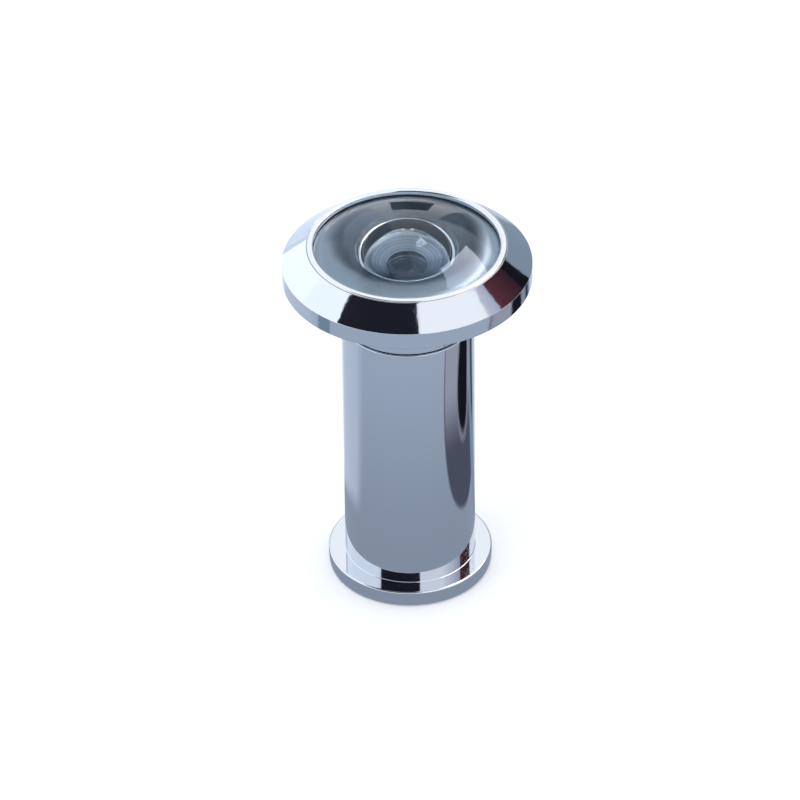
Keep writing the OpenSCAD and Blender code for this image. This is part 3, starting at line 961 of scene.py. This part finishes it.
# %% Cards
sky_card("dark_flag", (-34, 17), (-116, 14), (22, 74), ["22232e"], distance=0.43)
sky_card("dark_ceiling", (-140, -106), (-140, -106), (60, 80), ["22232e"], distance=0.44)
sky_card("fading_light", (60, 97), (60, 99), (6, 46), ["ffffff", "b4b8cc"], strength=1.15)
sky_card("red_card", (96, 122), (99, 122), (6, 46), ["66383f", "3a2430"], distance=0.44)
sky_card("black_edge", (121, 130), (121, 130), (2, 46), ["191920"], distance=0.43)
sky_card("grey_wall_right", (129, 168), (129, 168), (-4, 22), ["92a2b1"])
sky_card("dark_thing_behind", (174.5, 183), (173.5, 184), (-8, 13), ["14161f"], distance=0.4)
sky_card("bright_window", (116, 146), (94, 130), (37, 66), ["e6d6d0", "fff2ec"], distance=0.41, strength=10.0)
sky_card("white_card_left", (-150, -88), (-150, -88), (-3, 33), ["f4f9ff"], strength=1.5)
sky_card("pale_card_left", (-150, -60), (-150, -60), (33, 60), ["f4faff"], strength=1.4)
sky_card("pale_card_behind", (-172, -150), (-172, -150), (-3, 60), ["dcebff"], strength=1.1)

# %% [markdown]
# ## Soft light
#
# Even light from all round stands for a white tent. One square lamp at the front left gives the floor a
# faint shadow, and reflections don't see it.

# %% Soft light
world = bpy.data.worlds.new("studio")
bpy.context.scene.world = world
world.use_nodes = True
world.node_tree.nodes.clear()
air = add_node(world.node_tree, "ShaderNodeBackground", {"Color": linear("fbfdff"), "Strength": 1.25})
add_node(world.node_tree, "ShaderNodeOutputWorld", {"Surface": air.outputs[0]})


def soft_box(name, place, size, watts):
    """A square area light that looks at the middle of the part. Reflections don't see it."""
    data = bpy.data.lights.new(name, "AREA")
    data.size = size
    data.energy = watts
    lamp = bpy.data.objects.new(name, data)
    lamp.location = place
    lamp.rotation_euler = (Vector((0, 0, 0.02)) - Vector(place)).to_track_quat("-Z", "Y").to_euler()
    lamp.visible_glossy = False
    bpy.context.collection.objects.link(lamp)
    print(f"{name}: {watts} W")


soft_box("key", (-0.35, -0.25, 0.5), 0.5, 0.6)
bpy.context.scene.view_settings.view_transform = "Standard"

# %% [markdown]
# ## Camera
#
# A long lens from about 0.55 m, 36 degrees above the table, and turned by less than a degree.

# %% Camera
ELEVATION = 36.35   # degrees
ROLL = 0.75         # degrees
DISTANCE = 0.5525   # metres
LENS_MM = 234.8
TARGET = Vector((-0.00091, 0.0, 0.0210))

camera_data = bpy.data.cameras.new("camera")
camera_data.lens = LENS_MM
camera_data.clip_end = 20.0
camera = bpy.data.objects.new("camera", camera_data)
bpy.context.collection.objects.link(camera)
tilt = math.radians(ELEVATION)
backward = Vector((0, -math.cos(tilt), math.sin(tilt)))
upright = backward.to_track_quat("Z", "Y").to_matrix().to_4x4()
camera.matrix_world = (
    Matrix.Translation(TARGET + backward * DISTANCE) @ upright @ Matrix.Rotation(-math.radians(ROLL), 4, "Z"))
bpy.context.scene.camera = camera
print("camera at", [round(part, 3) for part in camera.matrix_world.translation])
